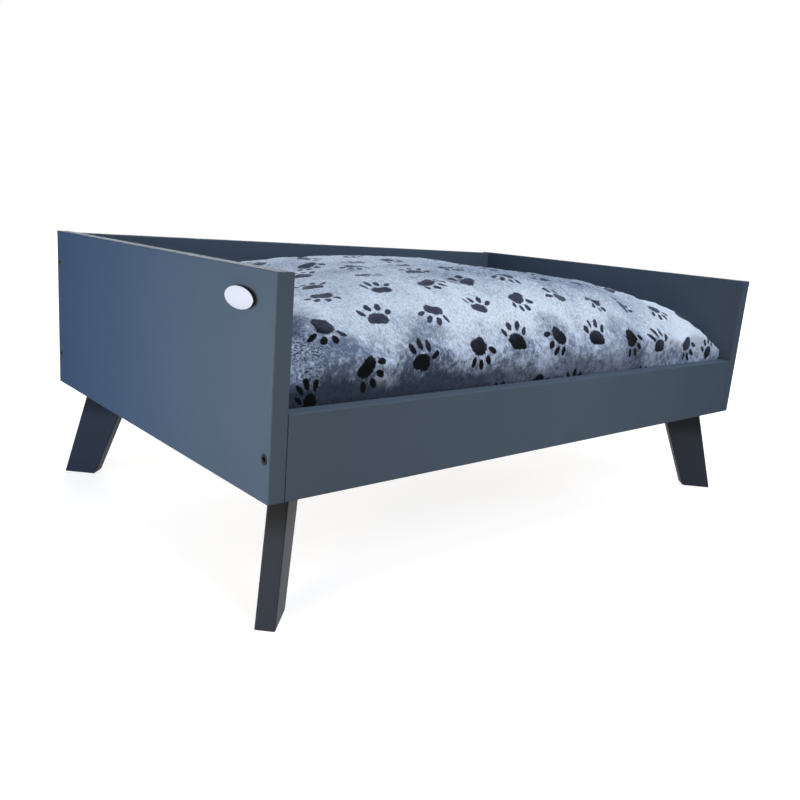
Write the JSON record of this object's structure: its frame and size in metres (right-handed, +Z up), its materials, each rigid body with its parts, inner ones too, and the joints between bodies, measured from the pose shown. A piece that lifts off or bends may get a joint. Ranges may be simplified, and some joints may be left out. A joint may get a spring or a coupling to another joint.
{
  "type": "dog sofa",
  "caption": "Low open-fronted dog sofa: a painted box frame on splayed plank legs, holding a loose crowned plush cushion with a zipped cover.",
  "frame": {"origin": "middle of the footprint on the surface it stands on, centred on the whole part's box, badge included", "axes": "+X runs along the length to the right as seen from the front, +Y from the open front to the back panel, +Z up"},
  "size_m": [0.7152, 0.4572, 0.279],
  "materials": {
    "slate_paint": "satin slate-blue paint on board, softly rounded edges",
    "charcoal_paint": "satin charcoal paint on solid wood",
    "bare_pine": "unfinished planed pine",
    "plywood": "unfinished sanded plywood",
    "beech": "unfinished beech dowel",
    "black_steel": "black-coated steel",
    "zinc_steel": "bright zinc plate",
    "white_plastic": "glossy white, bare of any marking",
    "foam_tape": "double-sided foam tape",
    "plush": "silver-grey short plush with dark paw prints",
    "fibre_fill": "white polyester fibre",
    "zip_tape_cloth": "woven dark grey tape",
    "zip_nylon": "moulded nylon coil"
  },
  "bodies": {
    "frame": {"back_cleat": "bare_pine", "back_panel": "slate_paint", "badge_pad": "foam_tape", "base_board": "plywood", "centre_batten": "bare_pine", "front_batten_screw": "zinc_steel", "front_cleat": "bare_pine", "front_cleat_left_screw": "zinc_steel", "front_cleat_right_screw": "zinc_steel", "front_left_base_screw": "zinc_steel", "front_left_corner_block": "bare_pine", "front_left_inner_leg_screw": "zinc_steel", "front_left_leg": "charcoal_paint", "front_left_outer_leg_screw": "zinc_steel", "front_rail": "slate_paint", "front_right_base_screw": "zinc_steel", "front_right_corner_block": "bare_pine", "front_right_inner_leg_screw": "zinc_steel", "front_right_leg": "charcoal_paint", "front_right_outer_leg_screw": "zinc_steel", "left_back_dowel": "beech", "left_cleat": "bare_pine", "left_cleat_front_screw": "zinc_steel", "left_cleat_rear_screw": "zinc_steel", "left_high_back_screw": "black_steel", "left_low_back_screw": "black_steel", "left_rail_dowel": "beech", "left_rail_screw": "black_steel", "left_side_panel": "slate_paint", "oval_badge": "white_plastic", "rear_batten_screw": "zinc_steel", "rear_cleat_left_screw": "zinc_steel", "rear_cleat_right_screw": "zinc_steel", "rear_left_base_screw": "zinc_steel", "rear_left_corner_block": "bare_pine", "rear_left_inner_leg_screw": "zinc_steel", "rear_left_leg": "charcoal_paint", "rear_left_outer_leg_screw": "zinc_steel", "rear_right_base_screw": "zinc_steel", "rear_right_corner_block": "bare_pine", "rear_right_inner_leg_screw": "zinc_steel", "rear_right_leg": "charcoal_paint", "rear_right_outer_leg_screw": "zinc_steel", "right_back_dowel": "beech", "right_cleat": "bare_pine", "right_cleat_front_screw": "zinc_steel", "right_cleat_rear_screw": "zinc_steel", "right_high_back_screw": "black_steel", "right_low_back_screw": "black_steel", "right_rail_dowel": "beech", "right_rail_screw": "black_steel", "right_side_panel": "slate_paint"},
    "cushion": {"cushion_top_panel": "plush", "cushion_bottom_panel": "plush", "cushion_fill": "fibre_fill", "zip_tape": "zip_tape_cloth", "zip_coil": "zip_nylon"},
    "zip_slider": {"zip_slider": "black_steel"}
  },
  "joints": [
    {"name": "cushion_lift", "type": "slide", "parent": "frame", "child": "cushion", "axis": [0, 0, 1], "range_m": [0, 0.25]},
    {"name": "zip_slide", "type": "slide", "parent": "cushion", "child": "zip_slider", "axis": [-1, 0, 0], "range_m": [0, 0.401]}
  ]
}
